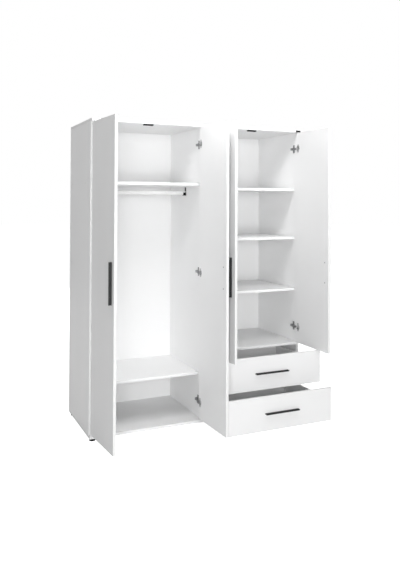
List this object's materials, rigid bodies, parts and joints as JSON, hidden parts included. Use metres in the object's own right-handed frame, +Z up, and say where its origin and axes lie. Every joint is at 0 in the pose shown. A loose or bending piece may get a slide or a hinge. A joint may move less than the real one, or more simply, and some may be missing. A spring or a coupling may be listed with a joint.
{
  "type": "wardrobe with doors",
  "caption": "Tall white free-standing wardrobe with hinged doors, a hanging side with rail and hat shelf, and a shelved side above pull-out drawers.",
  "frame": {"origin": "on the floor, on the middle plane of the cabinet's width, and halfway between the front of the open fronts and the back, at rest", "axes": "+X to the right seen from the front, +Y towards the wall behind, +Z up"},
  "size_m": [1.6081, 0.999, 2.087],
  "materials": {
    "white_board": "white melamine-faced chipboard with white edging, satin",
    "back_sheet": "thin white-faced hardboard, matt",
    "drawer_board": "white-faced drawer boards, matt",
    "black_metal": "black powder coat, fine satin",
    "black_plastic": "black moulded plastic",
    "hinge_steel": "nickel-plated pressed steel",
    "runner_steel": "zinc-plated pressed steel",
    "rail_metal": "white-coated oval steel tube"
  },
  "bodies": {
    "cabinet": {"back_left": "back_sheet", "back_right": "back_sheet", "bottom_panel": "white_board", "catch_left": "black_plastic", "catch_right": "black_plastic", "divider": "white_board", "edge_tag": "black_plastic", "fixed_shelf": "white_board", "foot_front_left": "black_plastic", "foot_front_middle": "black_plastic", "foot_front_right": "black_plastic", "foot_rear_left": "black_plastic", "foot_rear_middle": "black_plastic", "foot_rear_right": "black_plastic", "hanging_rail": "rail_metal", "hat_shelf": "white_board", "hinge_1_low": "hinge_steel", "hinge_1_middle": "hinge_steel", "hinge_1_top": "hinge_steel", "hinge_2_low": "hinge_steel", "hinge_2_middle": "hinge_steel", "hinge_2_top": "hinge_steel", "hinge_3_low": "hinge_steel", "hinge_3_top": "hinge_steel", "hinge_4_low": "hinge_steel", "hinge_4_top": "hinge_steel", "left_side": "white_board", "low_shelf": "white_board", "lower_drawer_left_runner": "runner_steel", "lower_drawer_right_runner": "runner_steel", "rail_bracket_left": "black_plastic", "rail_bracket_right": "black_plastic", "right_side": "white_board", "shelf_lower": "white_board", "shelf_middle": "white_board", "shelf_upper": "white_board", "top_panel": "white_board", "upper_drawer_left_runner": "runner_steel", "upper_drawer_right_runner": "runner_steel"},
    "door_1": {"door_1": "white_board", "door_1_handle": "black_metal"},
    "door_2": {"door_2": "white_board", "door_2_handle": "black_metal"},
    "door_3": {"door_3": "white_board", "door_3_handle": "black_metal"},
    "door_4": {"door_4": "white_board", "door_4_handle": "black_metal"},
    "upper_drawer": {"upper_drawer_front": "white_board", "upper_drawer_handle": "black_metal", "upper_drawer_left_side": "drawer_board", "upper_drawer_right_side": "drawer_board", "upper_drawer_back": "drawer_board", "upper_drawer_bottom": "drawer_board"},
    "lower_drawer": {"lower_drawer_front": "white_board", "lower_drawer_handle": "black_metal", "lower_drawer_left_side": "drawer_board", "lower_drawer_right_side": "drawer_board", "lower_drawer_back": "drawer_board", "lower_drawer_bottom": "drawer_board"}
  },
  "joints": [
    {"name": "door_1_swing", "type": "hinge", "parent": "cabinet", "child": "door_1", "pos_m": [-0.79028, -0.093, 1.0545], "axis": [0, 0, -1], "range_deg": [-85.6, 19.4]},
    {"name": "door_2_swing", "type": "hinge", "parent": "cabinet", "child": "door_2", "pos_m": [-0.00972, -0.093, 1.0545], "axis": [0, 0, 1], "range_deg": [-91.5, 0]},
    {"name": "door_3_swing", "type": "hinge", "parent": "cabinet", "child": "door_3", "pos_m": [0.00972, -0.093, 1.0545], "axis": [0, 0, -1], "range_deg": [-84.7, 0]},
    {"name": "door_4_swing", "type": "hinge", "parent": "cabinet", "child": "door_4", "pos_m": [0.79028, -0.093, 1.0545], "axis": [0, 0, 1], "range_deg": [-89.8, 15.2]},
    {"name": "upper_drawer_slide", "type": "slide", "parent": "cabinet", "child": "upper_drawer", "axis": [0, -1, 0], "range_m": [-0.256, 0.144]},
    {"name": "lower_drawer_slide", "type": "slide", "parent": "cabinet", "child": "lower_drawer", "axis": [0, -1, 0], "range_m": [-0.387, 0.013]}
  ]
}
